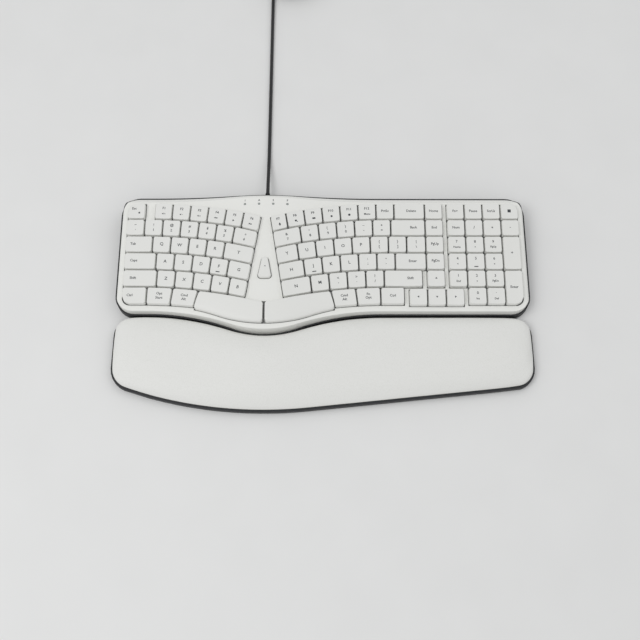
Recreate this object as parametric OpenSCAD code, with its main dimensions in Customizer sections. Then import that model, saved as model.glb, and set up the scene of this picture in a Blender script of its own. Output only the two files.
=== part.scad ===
// Wired split keyboard with a gull-wing deck, fanned key rows and a fixed palm rest.
// The model is drawn with x = 0 on the split between the halves and y = 0 on the straight front
// edge of the case, then moved so that the origin is under the middle of the whole keyboard.

/* [Case outline] */
// Overall width
case_w = 430; // [424:1:450]
// Distance from the left side to the split between the key halves
split_x = 155; // [153:1:165]
// Depth of the key case, from its straight front edge to the back
case_d = 131; // [131:0.5:145]
// Radius of the case corners in plan
corner_r = 20; // [12:1:24]
// How far the front edge swells forward at the split
nose_drop = 22; // [16:1:26]
// Half the width of that swelling
nose_half = 120; // [110:1:128]
// Radius of the swelling at its tip
nose_r = 95; // [70:1:120]
// Width of the dark rim round the white top and round the pad
skirt = 1.8; // [1.2:0.1:2.2]

/* [Deck] */
// Height of the flat part of the deck at the front edge
deck_h = 18.5; // [18:0.5:24]
// Slope of the deck towards the back, in degrees
deck_slope = 3; // [2:0.5:6]
// Rise of the deck at the split
ridge_rise = 8; // [6:0.5:15]
// Half the width of the raised part
ridge_half = 120; // [110:1:130]
// Radius of the ridge at the split
ridge_r = 250; // [200:5:300]
// Width of the bevel along the back edge
back_bevel = 5; // [3:0.5:7]
// Angle of that bevel to the deck, in degrees
back_bevel_angle = 38; // [25:1:45]
// Round of the left and right ends of the deck
end_roll = 5; // [3:0.5:7]
// Wall of the top shell
shell_t = 2; // [1.6:0.1:2.6]
// Depth of the dark rim's top under the deck
rim_drop = 0.6; // [0.4:0.1:1.5]
// Height of the rim's top along the front edge
rim_front_z = 10; // [9:0.5:12]

/* [Bottom shell] */
// Height of the shell's floor above the table
foot_gap = 1.5; // [1:0.1:3]
// Thickness of the floor
floor_t = 2; // [1.6:0.1:3]
// Height of the seam between the two shells
seam_z = 6.5; // [5.5:0.1:8]
// Thickness of the lip inside the top shell
lip_t = 1.4; // [1:0.1:2]
// Height of that lip above the seam
lip_h = 2.5; // [1.5:0.1:4]
// Play between shells that fit into each other
shell_play = 0.2; // [0.1:0.05:0.4]

/* [Keys] */
// Pitch of the keys
pitch = 19.05; // [18.5:0.05:19.2]
// Gap between neighbouring caps
key_gap = 1; // [0.8:0.1:1.6]
// Distance from the front edge of the case to the lowest row of cells
key_front = 7.7; // [7:0.1:9]
// Distance from the split to where the rows start to bend
bend_start = 125; // [115:1:130]
// Radius of the bent rows
bend_r = 395; // [380:5:460]
// Lean of the key sides, as a share of the bend of the row
lean_share = 0.6; // [0.4:0.05:0.8]
// The same for the lowest row
low_lean_share = 1.6; // [1:0.1:1.8]
// Half the angle of the wedge between the halves, in degrees
wedge_angle = 9.35; // [8:0.05:10]
// Half the width of the wedge on the front edge of the case
wedge_half = 21.5; // [20:0.1:24]
// Height of the caps over the deck
cap_h = 5; // [4:0.1:7]
// How far the caps reach below the deck
cap_skirt = 0.5; // [0.3:0.1:0.8]
// How much a cap narrows on each side
cap_taper = 0.7; // [0.4:0.1:1.2]
// Depth of the dish in a cap
cap_dish = 0.55; // [0.3:0.05:0.8]
// Wall of the caps
cap_wall = 1.3; // [1:0.1:1.6]
// Thickness of a cap under its dish
cap_roof = 1.5; // [1.2:0.1:2]
// Radius of the cap corners
cap_corner = 1.7; // [1:0.1:2.5]
// Radius of the four outer corners of the key field
field_corner = 8; // [4:0.5:9]
// Travel of a key
key_travel = 2.5; // [2:0.1:2.7]
// Gap between a cap and the edge of its window in the deck
window_gap = 0.65; // [0.5:0.05:0.9]

/* [Key works] */
// Side of the square stems
stem_w = 6.6; // [6:0.1:7]
// Bore of the stems
stem_bore = 5.2; // [5:0.1:5.4]
// Play of a stem in its guide
stem_play = 0.2; // [0.15:0.05:0.3]
// Free space under a pressed cap
press_room = 1; // [0.8:0.1:1.4]
// Thickness of the key frame
frame_t = 2.5; // [2:0.1:3]
// Free space between a pressed stem and the contact sheet
dome_room = 1.3; // [1.3:0.1:1.5]
// Thickness of the contact sheet
sheet_t = 0.3; // [0.2:0.05:0.5]
// Thickness of the steel back plate
plate_t = 1; // [0.8:0.1:1.2]
// How far a dome's neck stands in its stem
neck_in = 0.5; // [0.3:0.1:0.8]
// Diameter of a dome's neck
dome_neck = 3; // [2.6:0.1:3.2]

/* [Palm rest] */
// Distance from the case's front edge to the tip of the palm rest
palm_d = 102; // [95:1:110]
// Radius of the palm rest's front edge
palm_r = 430; // [400:5:480]
// Angle of the straight right part of that edge, in degrees
palm_angle = 6; // [4:0.5:7]
// Radius of the front left corner
palm_left_r = 24; // [18:1:28]
// Radius of the front right corner
palm_right_r = 22; // [18:1:28]
// Gap between the case and the palm rest
palm_gap = 0.6; // [0.4:0.1:1]
// Height of the pad's front edge above its base
palm_front_h = 7; // [5:0.5:9]
// How far the pad's back edge stays below the deck
palm_step = 2.5; // [1:0.5:5]
// Crown of the pad
palm_crown = 2.5; // [1:0.5:4]

/* [Feet and fasteners] */
// Diameter of the rubber feet
foot_dia = 12; // [10:0.5:14]
// Depth of the recess that holds a foot
foot_recess = 1; // [0.6:0.1:1.2]
// Width of a folding foot
tilt_w = 34; // [28:1:40]
// Length of a folding foot from its axis
tilt_l = 24; // [18:1:28]
// Thickness of a folding foot
tilt_t = 3.6; // [3:0.1:4]
// Diameter of a folding foot's pins
tilt_pin = 3; // [2.4:0.1:3.2]
// Play round a folding foot
tilt_play = 0.5; // [0.3:0.1:0.7]
// Play round a folding foot's pins
pin_play = 0.1; // [0.05:0.05:0.2]
// Screw shank diameter
screw_d = 2.4; // [2:0.1:2.6]
// Screw head diameter
screw_head_d = 4.8; // [4.2:0.1:5]
// Screw head height
screw_head_h = 1.6; // [1.2:0.1:1.8]
// Play round a screw
screw_play = 0.2; // [0.1:0.05:0.3]

/* [Cord] */
// Diameter of the cord
cord_d = 3.8; // [3.4:0.1:4]
// Height at which the cord leaves the back wall
cord_z = 11; // [10:0.5:12]
// Length of the tapered sleeve outside the wall
sleeve_l = 12; // [8:1:18]
// Radius of the widest loop of the coil
coil_r = 27.4; // [26:0.2:30]
// Loops in each layer of the coil
coil_turns = 2; // [1:1:3]
// Layers of the coil
coil_layers = 4; // [2:2:4]
// Free space between neighbouring loops
coil_gap = 0.5; // [0.45:0.05:0.8]
// Length of the plug's grip
grip_l = 24; // [18:1:30]
// Width of the plug's metal shell
plug_w = 12; // [11.8:0.1:12.2]
// Height of the plug's metal shell
plug_h = 4.5; // [4.4:0.1:4.6]
// Length of the plug's metal shell outside the grip
plug_l = 14; // [12:0.5:16]

/* [Hidden] */
$fn = 48;

white = "#e4e4e0";
charcoal = "#2c2d30";
LEFT = -1;
RIGHT = 1;
TO_WEDGE = 0;
tiny = 0.02;
far = 60;

// The case is stated for keys of the standard pitch. Wider keys push its ends and its back outwards.
standard_pitch = 19.05;
key_growth = pitch - standard_pitch;
left_columns = 7;
right_columns = 8;
side_columns = 5;
row_count = 6;
left_x = -split_x - left_columns * key_growth;
right_x = case_w - split_x + (right_columns + side_columns) * key_growth;
back_y = case_d + row_count * key_growth;
mid_x = (left_x + right_x) / 2;
mid_y = (back_y - palm_d) / 2;
floor_z = foot_gap + floor_t;
wall_in = skirt + shell_t;
slope_tan = tan(deck_slope);
// Depths under the deck, one layer after the other
frame_drop = cap_skirt + key_travel + press_room;
stem_reach = 0.7;
stem_low = -frame_drop - frame_t - stem_reach;
sheet_drop = key_travel + dome_room - stem_low;
dome_h = key_travel + dome_room + neck_in;

// Profiles made of tangent arcs
// A hump that leaves the flat at +-span and is rise high in the middle, moved inwards by inset.
function hump(x, span, rise, crest_r, inset = 0) =
    let (sum_r = (span * span + rise * rise) / (2 * rise))
    let (toe_r = sum_r - crest_r)
    let (toe_x = abs(x) - span * (crest_r - inset) / sum_r)
    abs(x) >= span ? -inset
        : toe_x > 0 ? toe_r - sqrt(pow(toe_r + inset, 2) - pow(span - abs(x), 2))
        : rise - crest_r + sqrt(pow(crest_r - inset, 2) - x * x);
function ridge(x) = hump(x, ridge_half, ridge_rise, ridge_r);
function ridge_angle(x) = atan((ridge(x + 0.5) - ridge(x - 0.5)));
function case_front(x, inset = 0) = -hump(x, nose_half, nose_drop, nose_r, inset);
function steps(from, to, count) = [for (i = [0 : count]) from + (to - from) * i / count];
function arc(centre, r, from, to, count) =
    [for (a = steps(from, to, count)) centre + r * [cos(a), sin(a)]];
function flip(list) = [for (i = [len(list) - 1 : -1 : 0]) list[i]];
function xs_across(half, count) = steps(-half, half, count);

// Outline of the case, inset from the outermost edge
corner_steps = 8;
front_steps = 40;
function case_outline(inset) =
    let (r = corner_r - inset)
    concat(
        arc([left_x + corner_r, corner_r], r, 180, 270, corner_steps),
        [for (x = xs_across(nose_half, front_steps)) [x, case_front(x, inset)]],
        arc([right_x - corner_r, corner_r], r, 270, 360, corner_steps),
        arc([right_x - corner_r, back_y - corner_r], r, 0, 90, corner_steps),
        arc([left_x + corner_r, back_y - corner_r], r, 90, 180, corner_steps));

// Front edge of the palm rest: a wide arc round the tip, a straight right part, two corners
palm_centre = [0, palm_r - palm_d];
palm_bend = palm_centre + palm_r * [sin(palm_angle), -cos(palm_angle)];
left_corner_x = left_x + palm_left_r;
left_corner = [left_corner_x,
    palm_centre.y - sqrt(pow(palm_r - palm_left_r, 2) - pow(left_corner_x, 2))];
left_corner_angle = atan2(left_corner.y - palm_centre.y, left_corner.x - palm_centre.x);
right_corner_x = right_x - palm_right_r;
right_corner = [right_corner_x,
    palm_bend.y + (right_corner_x - palm_bend.x) * tan(palm_angle) + palm_right_r / cos(palm_angle)];
function palm_front(x, inset = 0) =
    let (left_r = palm_left_r - inset)
    let (right_r = palm_right_r - inset)
    let (left_end = left_corner.x + left_r * cos(left_corner_angle))
    let (right_end = right_corner.x + right_r * sin(palm_angle))
    let (bend = palm_centre + (palm_r - inset) * [sin(palm_angle), -cos(palm_angle)])
    x < left_end ? left_corner.y - sqrt(max(0, pow(left_r, 2) - pow(x - left_corner.x, 2)))
        : x < bend.x ? palm_centre.y - sqrt(pow(palm_r - inset, 2) - x * x)
        : x < right_end ? bend.y + (x - bend.x) * tan(palm_angle)
        : right_corner.y - sqrt(max(0, pow(right_r, 2) - pow(x - right_corner.x, 2)));
function palm_back(x, inset = 0) =
    let (r = corner_r - inset)
    let (past = max(left_x + corner_r - x, x - right_x + corner_r, 0))
    past > 0 ? -palm_gap - corner_r + sqrt(max(0, r * r - past * past))
        : case_front(x, -palm_gap - inset);
// Stations across the palm rest, closer together at its ends
function palm_xs(inset) =
    let (from = left_x + inset)
    let (to = right_x - inset)
    concat(
        [for (a = steps(0, 75, 5)) from + corner_r * (1 - cos(a))],
        steps(left_x + 2 * corner_r, right_x - 2 * corner_r, 38),
        [for (a = steps(75, 0, 5)) to - corner_r * (1 - cos(a))]);
function palm_outline(inset) =
    let (xs = palm_xs(inset))
    concat(
        [for (x = xs) [x, palm_front(x, inset)]],
        [for (x = flip(xs)) [x, palm_back(x, inset)]]);

// Triangles across a ring, zigzag from its first and last point to its middle
function ring_cap(count) = [
    for (low = [0 : floor(count / 2) - 1])
        let (high = count - 1 - low)
        each high - low < 2 ? []
            : high - low == 2 ? [[low, low + 1, high]]
            : [[low, low + 1, high], [low + 1, high - 1, high]]
];
// A solid through rings of points, each ring with the same number of points
module loft(rings) {
    per = len(rings[0]);
    last = len(rings) - 1;
    sides = [
        for (k = [0 : last - 1])
            for (i = [0 : per - 1])
                let (a = k * per + i)
                let (b = k * per + (i + 1) % per)
                each [[a, a + per, b], [b, a + per, b + per]]
    ];
    first_cap = ring_cap(per);
    last_cap = [for (f = first_cap) last * per * [1, 1, 1] + [f[0], f[2], f[1]]];
    polyhedron(points = [for (ring = rings) each ring], faces = concat(sides, first_cap, last_cap));
}

// Places
module placed() {
    translate([-mid_x, -mid_y, 0])
        children();
}
module on_deck() {
    translate([0, 0, deck_h])
        rotate([deck_slope, 0, 0])
            children();
}
module prism(points, from, to) {
    translate([0, 0, from])
        linear_extrude(to - from)
            polygon(points);
}
// The deck's curve as a block, from one depth below the deck to another
// With between = 1 its stations lie between the deck's own.
wave_steps = 48;
wave_step = 2 * ridge_half / wave_steps;
roll_out = 0.06;
function wave_line(z, between) =
    [for (x = xs_across(ridge_half + between * wave_step / 2, wave_steps + between)) [x, ridge(x) + z]];
function wave_top(z, roll, between) =
    let (left_end = left_x + skirt + roll - roll_out)
    let (right_end = right_x - skirt - roll + roll_out)
    concat(
        [[left_x - tiny, z - roll]],
        roll == 0 ? [] : arc([left_end, z - roll], roll, 180, 90, 6),
        wave_line(z, between),
        roll == 0 ? [] : arc([right_end, z - roll], roll, 90, 0, 6),
        [[right_x + tiny, z - roll]]);
module wave_block(top, bottom, from_y, to_y, roll = 0, between = 0) {
    translate([0, to_y, 0])
        rotate([90, 0, 0])
            linear_extrude(to_y - from_y)
                polygon(concat(wave_top(top, roll, between), flip(wave_top(bottom, 0, between))));
}

// Plan of the key rows
// Distances from the split (q) and lengths along a row (l), measured inwards from the bend.
function row_drop(q) =
    q >= bend_start ? 0 : bend_r - sqrt(bend_r * bend_r - pow(bend_start - q, 2));
function row_angle(l) = l <= 0 ? 0 : l / bend_r * 180 / PI;
function row_q(l) = l <= 0 ? bend_start - l : bend_start - bend_r * sin(row_angle(l));
function row_mid(row) = key_front + pitch * (6.5 - row);
function wedge_q(y) = wedge_half - (y - row_count * key_growth) * tan(wedge_angle);
// Corner of a cell at length l, up (+) or down (-) from the middle of its row
function cell_corner(side, row, l, up) =
    let (q = row_q(l) - up * tan((row == row_count ? low_lean_share : lean_share) * row_angle(l)))
    [side * q, row_mid(row) + up - row_drop(q)];
function wedge_corner(side, row, up, out) =
    let (y = row_mid(row) + up)
    let (near = wedge_q(y - row_drop(wedge_half / 2)) + out)
    let (q = wedge_q(y - row_drop(near)) + out)
    [side * q, y - row_drop(q)];
// Outline of a cell from length a to b (or to the wedge), grown on every side, counter-clockwise
function cell_edge(side, row, a, b, wedge, up, grow, parts) =
    let (start = cell_corner(side, row, a - grow, up))
    let (end = wedge ? wedge_corner(side, row, up, -grow) : cell_corner(side, row, b + grow, up))
    [for (x = steps(start.x, end.x, parts)) [x, row_mid(row) + up - row_drop(abs(x))]];
function cell_outline(side, row, a, b, wedge, grow, parts) =
    let (up = pitch / 2 + grow)
    let (low = cell_edge(side, row, a, b, wedge, -up, grow, parts))
    let (high = cell_edge(side, row, a, b, wedge, up, grow, parts))
    side == LEFT ? concat(low, flip(high)) : concat(flip(low), high);
function turned(p, q) = (q - p) / norm(q - p);
function rounded(points, radii) = [
    for (i = [0 : len(points) - 1])
        let (p = points[i])
        let (back = turned(p, points[(i + len(points) - 1) % len(points)]))
        let (ahead = turned(p, points[(i + 1) % len(points)]))
        let (half = acos(back * ahead) / 2)
        let (reach = radii[i] / tan(half))
        let (centre = p + turned([0, 0], back + ahead) * radii[i] / sin(half))
        let (from = p + back * reach)
        let (to = p + ahead * reach)
        each radii[i] == 0 ? [p]
            : [from, centre + turned(centre, p) * radii[i], to]
];
function middle(points) = [for (axis = [0, 1])
    let (values = [for (p = points) p[axis]])
    (min(values) + max(values)) / 2];
function width(points) = let (values = [for (p = points) p.x]) max(values) - min(values);

// Each row half: side, row, outer edge of its first cell, widths in units from the outside in.
// A negative width is bare deck, and TO_WEDGE fills up to the wedge.
field_margin = 8.2;
row_start = -left_x - field_margin;
nav_start = 167.7;
nav_q = nav_start + right_columns * key_growth;
pad_gap = 3.85;
pad_x = nav_q + pitch + pad_gap;
arrow_x = nav_q - pitch;
function row_lengths(start, widths) = [
    for (i = 0, l = bend_start - start; i < len(widths); l = l + abs(widths[i]) * pitch, i = i + 1) l
];
function row_cells(side, row, start, widths) =
    let (from = row_lengths(start, widths))
    [for (i = [0 : len(widths) - 1]) if (widths[i] >= 0)
        [side, row, from[i], from[i] + widths[i] * pitch, widths[i] == TO_WEDGE]];
left_rows = [
    row_cells(LEFT, 1, row_start, [1, -0.5, 1, 1, 1, 1, 1, TO_WEDGE]),
    row_cells(LEFT, 2, row_start, [1, 1, 1, 1, 1, 1, TO_WEDGE]),
    row_cells(LEFT, 3, row_start, [1.5, 1, 1, 1, 1, TO_WEDGE]),
    row_cells(LEFT, 4, row_start, [1.75, 1, 1, 1, 1, TO_WEDGE]),
    row_cells(LEFT, 5, row_start, [1.85, 1, 1, 1, 1, TO_WEDGE]),
    row_cells(LEFT, 6, row_start, [1.35, 1.35, 1.35])
];
shift_inset = 4.2;
arrow_gap = 4.35;
modifier_q = arrow_x - arrow_gap;
right_rows = [
    row_cells(RIGHT, 1, nav_q, [1.7, 1, 1, 1, 1, 1, 1, TO_WEDGE]),
    row_cells(RIGHT, 2, nav_q, [1.9, 1, 1, 1, 1, 1, TO_WEDGE]),
    row_cells(RIGHT, 3, nav_q, [1.05, 1, 1, 1, 1, 1, 1, TO_WEDGE]),
    row_cells(RIGHT, 4, nav_q, [1.7, 1, 1, 1, 1, 1, TO_WEDGE]),
    row_cells(RIGHT, 5, nav_q - shift_inset, [2.1, 1, 1, 1, 1, TO_WEDGE]),
    row_cells(RIGHT, 6, modifier_q, [1.3, 1.3, 1.3])
];
// Straight cells: lowest row, highest row, left edge, shift towards the front
function straight_cell(x, low, high, shift = 0) = [low, high, x, shift];
nav_cells = [for (row = [1 : 4]) straight_cell(nav_q, row, row)];
arrow_up_cell = straight_cell(nav_q, 5, 5);
// The lower arrows sit a little further forward, which leaves a bar of deck behind them
arrow_shift = 1.3;
arrow_cells = [for (i = [0 : 2]) straight_cell(arrow_x + i * pitch, 6, 6, arrow_shift)];
function pad_cells(row, columns) = [for (c = columns) straight_cell(pad_x + c * pitch, row, row)];
pad_plus_cell = straight_cell(pad_x + 3 * pitch, 4, 3);
pad_enter_cell = straight_cell(pad_x + 3 * pitch, 6, 5);

function straight_outline(cell, grow) =
    let (x0 = cell[2] - grow)
    let (x1 = cell[2] + pitch + grow)
    let (y0 = row_mid(cell[0]) - pitch / 2 - grow - cell[3])
    let (y1 = row_mid(cell[1]) + pitch / 2 + grow - cell[3])
    [[x0, y0], [x1, y0], [x1, y1], [x0, y1]];
wide_cell = 1.2 * pitch;
function cell_parts(cell) = cell[3] - cell[2] > wide_cell || cell[4] ? 2 : 1;
function plain_outline(cell, grow) = len(cell) == 4
    ? straight_outline(cell, grow)
    : cell_outline(cell[0], cell[1], cell[2], cell[3], cell[4], grow, cell_parts(cell));
// Only the four true corners are rounded, and big names one that has the large radius.
function corner_radii(count, parts, big, r, big_r) =
    let (corners = [0, parts, parts + 1, 2 * parts + 1])
    [for (i = [0 : count - 1])
        len([for (c = corners) if (c == i) c]) == 0 ? 0
            : big >= 0 && corners[big] == i ? big_r : r];
function cap_outline(cell, inset, big = -1) =
    let (points = plain_outline(cell, -key_gap / 2 - inset))
    let (parts = len(points) / 2 - 1)
    rounded(points, corner_radii(len(points), parts, big, cap_corner, field_corner - inset));
function row_turn(cell) = len(cell) == 4 ? 0
    : cell[0] * row_angle(cell[4] ? cell[2] + pitch / 2 : (cell[2] + cell[3]) / 2);

// Key caps
module stem(at) {
    top = cap_h - cap_dish - cap_roof / 2;
    translate([at.x, at.y, ridge(at.x)])
        difference() {
            translate([-stem_w / 2, -stem_w / 2, stem_low])
                cube([stem_w, stem_w, top - stem_low]);
            translate([0, 0, stem_low - tiny])
                cylinder(d = stem_bore, h = -stem_low);
        }
}
function raised(points, z) = [for (p = points) [p.x, p.y, ridge(p.x) + z]];
module cap(cell, big = -1) {
    base = cap_outline(cell, 0, big);
    at = middle(plain_outline(cell, 0));
    across = width(base);
    dish_r = across * across / (8 * cap_dish);
    depth = 3 * pitch;
    hollow = plain_outline(cell, -key_gap / 2 - cap_wall);
    hollow_top = plain_outline(cell, -key_gap / 2 - cap_wall - cap_taper);
    union() {
        difference() {
            loft([raised(base, -cap_skirt), raised(cap_outline(cell, cap_taper, big), cap_h + 2)]);
            translate([at.x, at.y, ridge(at.x) + cap_h - cap_dish])
                rotate([0, -ridge_angle(at.x), row_turn(cell)])
                    translate([0, 0, dish_r])
                        rotate([90, 0, 0])
                            cylinder(r = dish_r, h = depth, center = true, $fn = 600);
            loft([raised(hollow, -cap_skirt - 1), raised(hollow_top, cap_h - cap_dish - cap_roof)]);
        }
        stem(at);
    }
}
module caps(cells, big = -1, which = 0) {
    color(white)
        placed()
            on_deck()
                for (i = [0 : len(cells) - 1])
                    cap(cells[i], i == which ? big : -1);
}

// The space bars follow the swelling in front and the row behind
space_gap = 2.4;
space_front_r = 130;
space_flat = 10.5;
space_round = 4;
// Room behind the bars besides the gap between caps
space_back_play = 0.3;
function space_front(q) = row_mid(6) - pitch / 2 + key_gap / 2 - hump(q, nose_half, nose_drop, space_front_r);
function space_back(q) =
    row_mid(6) + pitch / 2 - key_gap / 2 - space_back_play - row_drop(norm([q, space_flat]));
function space_outer(side) = row_q(last_cell(side)[3] + key_gap / 2);
function space_mid(q) = (space_front(q) + space_back(q)) / 2;
// Its outer end leans like the keys beside it: how far its back is inside the middle
function space_lean(side, q) =
    let (lean = tan(low_lean_share * row_angle(last_cell(side)[3])))
    (space_back(q) - space_front(q)) / 2 * lean * q / space_outer(side);
function last_cell(side) = side == LEFT ? left_rows[5][2] : right_rows[5][2];
space_stations = 13;
function space_qs(side, inset) =
    let (from = space_gap / 2 + inset)
    let (to = space_outer(side) - inset)
    concat([from], steps(from + 1.5, to - 1.5, space_stations), [to]);
// One cross-section of a space bar: flat below, rounded over the front edge
function space_section(side, q, inset, low, high) =
    let (near = min(q - space_gap / 2 - inset, space_outer(side) - inset - q))
    let (trim = near >= cap_corner ? 0 : cap_corner - sqrt(cap_corner * cap_corner - pow(cap_corner - near, 2)))
    let (lean = space_lean(side, q))
    let (y0 = space_front(q + lean) + inset + trim)
    let (y1 = space_back(q - lean) - inset - trim)
    let (section = [[y0, low], [y1, low], [y1 - cap_taper, high - cap_dish],
        [y1 - 2 * cap_taper - 1, high], [y0 + space_round + 2, high],
        [y0 + space_round / 2, high - space_round / 5],
        [y0 + space_round / 6, high - space_round / 2]])
    [for (p = section)
        let (x = q + lean - 2 * lean * (p[0] - y0) / (y1 - y0))
        [side * x, p[0], ridge(x) + p[1]]];
module space_solid(side, inset, low, high) {
    rings = [for (q = space_qs(side, inset)) space_section(side, q, inset, low, high)];
    loft(side == LEFT ? flip(rings) : rings);
}
function space_stem_at(side, q) = [side * q, space_mid(q)];
space_stems = [14, 36, 58];
module space_bar(side) {
    color(white)
        placed()
            on_deck() {
                difference() {
                    space_solid(side, 0, -cap_skirt, cap_h);
                    space_solid(side, cap_wall, -cap_skirt - 1, cap_h - cap_roof);
                }
                for (q = space_stems)
                    stem(space_stem_at(side, q));
            }
}

// Centre button, wider in front, round behind
button_y = 34.7;
button_l = 23;
button_front_w = 13.6;
button_back_w = 7.4;
button_h = 3;
button_corner = 3;
function button_outline(inset) =
    let (half_f = button_front_w / 2 - inset)
    let (half_b = button_back_w / 2 - inset)
    let (r = button_corner - inset)
    let (y0 = button_y + inset)
    let (y1 = button_y + button_l - button_back_w / 2)
    concat(
        arc([-half_f + r, y0 + r], r, 180, 270, 4),
        arc([half_f - r, y0 + r], r, 270, 360, 4),
        arc([0, y1], half_b, 0, 180, 10));
button_stem_at = [0, button_y + button_l * 0.42];
module centre_button() {
    color(white)
        placed()
            on_deck() {
                difference() {
                    loft([raised(button_outline(0), -cap_skirt),
                        raised(button_outline(0), button_h - 1),
                        raised(button_outline(0.8), button_h)]);
                    loft([raised(button_outline(cap_wall), -cap_skirt - 1),
                        raised(button_outline(cap_wall), button_h - cap_roof)]);
                }
                button_stem(button_stem_at);
            }
}
module button_stem(at) {
    translate([at.x, at.y, ridge(at.x)])
        difference() {
            translate([-stem_w / 2, -stem_w / 2, stem_low])
                cube([stem_w, stem_w, button_h - cap_roof / 2 - stem_low]);
            translate([0, 0, stem_low - tiny])
                cylinder(d = stem_bore, h = -stem_low - cap_roof);
        }
}

// Where the stems are
row_list = concat(left_rows, right_rows);
straight_list = concat(
    nav_cells, [arrow_up_cell], arrow_cells,
    pad_cells(1, [0 : 3]), pad_cells(2, [0 : 3]), pad_cells(3, [0 : 2]),
    pad_cells(4, [0 : 2]), pad_cells(5, [0 : 2]), pad_cells(6, [1 : 2]),
    [pad_plus_cell, pad_enter_cell]);
stem_places = concat(
    [for (row = row_list) for (cell = row) middle(plain_outline(cell, 0))],
    [for (cell = straight_list) middle(plain_outline(cell, 0))],
    [for (side = [LEFT, RIGHT]) for (q = space_stems) space_stem_at(side, q)],
    [button_stem_at]);
module at_stems() {
    for (p = stem_places)
        translate([p.x, p.y, ridge(p.x)])
            children();
}

// Windows in the deck, one for each run of keys
window_grow = window_gap - key_gap / 2;
band_parts = 14;
// Odd rows are cut a hair wider, so that no two cuts share a face
stagger = 0.06;
module band(cells, first, last) {
    a = cells[first];
    b = cells[last];
    points = cell_outline(a[0], a[1], a[2], b[3], b[4], window_grow + a[1] % 2 * stagger, band_parts);
    prism(points, -far, far);
}
module straight_window(x, columns, low, high, shift = 0) {
    grow = window_grow - low % 2 * stagger - stagger;
    y0 = row_mid(low) - pitch / 2 - grow - shift;
    y1 = row_mid(high) + pitch / 2 + grow - shift;
    translate([x - grow, y0, -far])
        cube([columns * pitch + 2 * grow, y1 - y0, 2 * far]);
}
module space_window() {
    reach = window_gap;
    function front(side) = [
        for (q = steps(space_outer(side) + reach, 0, 20))
            let (x = q + space_lean(side, q))
            [side * x, space_front(x) - reach]];
    function back(side) = [
        for (q = steps(space_outer(side) + reach, 0, 20))
            let (x = q - space_lean(side, q))
            [side * x, space_back(x) + reach]];
    prism(concat(front(LEFT), flip(front(RIGHT)), back(RIGHT), flip(back(LEFT))), -far, far);
}
// What stays of the deck in a window's corner, beside a cap with the large corner radius
module window_corner(x, y, to_x, to_y) {
    r = field_corner + window_gap;
    reach = r - roll_out;
    translate([x - to_x * reach, y - to_y * reach, -far])
        difference() {
            translate([min(0, to_x * 2 * r), min(0, to_y * 2 * r), 0])
                cube([2 * r, 2 * r, 2 * far]);
            translate([0, 0, -1])
                cylinder(r = r, h = 2 * far + 2);
        }
}
module key_windows() {
    difference() {
        plain_windows();
        window_corner(-row_start - window_grow, row_mid(1) + pitch / 2 + window_grow, -1, 1);
        window_corner(-row_start - window_grow, row_mid(6) - pitch / 2 - window_grow, -1, -1);
        window_corner(pad_x + 4 * pitch + window_grow, row_mid(1) + pitch / 2 + window_grow, 1, 1);
        window_corner(pad_x + 4 * pitch + window_grow, row_mid(6) - pitch / 2 - window_grow, 1, -1);
    }
}
module plain_windows() {
    band(left_rows[0], 0, 0);
    band(left_rows[0], 1, 6);
    for (k = [1 : 5])
        band(left_rows[k], 0, len(left_rows[k]) - 1);
    for (k = [0 : 5])
        band(right_rows[k], 0, len(right_rows[k]) - 1);
    space_window();
    straight_window(nav_q, 1, 5, 1);
    straight_window(arrow_x, 3, 6, 6, arrow_shift);
    straight_window(pad_x, 4, 5, 1);
    straight_window(pad_x + pitch, 3, 6, 6);
    prism(button_outline(-window_gap), -far, far);
}

// Screws, from below, with the seat of each head
rear_boss_y = back_y - wall_in - 1.2;
rear_boss_r = 3;
rear_boss_low = 6;
left_screws = [30, 85];
right_screws = [25, 85, 150, 213];
rear_screws = concat(
    [for (x = left_screws) [left_x + x, rear_boss_y]],
    [for (x = right_screws) [right_x - x, rear_boss_y]]);
post_r = 2.9;
post_outer = 9.6;
right_post_in = 30.7;
post_columns = concat(
    [post_outer - row_start, -92, -48, 48, 92, nav_q - right_post_in],
    [nav_q + pitch + pad_gap / 2, pad_x + 2 * pitch]);
post_rows = [2, 5];
function post_y(x, row) = row_mid(row) - pitch / 2 - row_drop(abs(x));
post_places = [for (x = post_columns) for (row = post_rows) [x, post_y(x, row)]];
sheet_low = -sheet_drop - sheet_t;
plate_low = sheet_low - plate_t;
pillar_web = 1.4;
pillar_r = 4.2;
screw_l = 7;
module screw(seat) {
    translate([0, 0, seat - screw_head_h])
        cylinder(d = screw_head_d, h = screw_head_h);
    translate([0, 0, seat - tiny])
        cylinder(d = screw_d, h = screw_l);
}
module at_posts() {
    on_deck()
        for (p = post_places)
            translate([p.x, p.y, ridge(p.x) + plate_low])
                children();
}
module at_rear_screws() {
    for (p = rear_screws)
        translate([p.x, p.y, 0])
            children();
}
head_room = screw_head_d + 2 * screw_play;
shank_room = screw_d + 2 * screw_play;
rear_seat = floor_z + 1;
post_slack = 1;
module screws() {
    color("#8b8d90")
        placed() {
            at_posts()
                screw(-pillar_web - post_slack);
            at_rear_screws()
                screw(rear_seat);
        }
}

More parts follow.
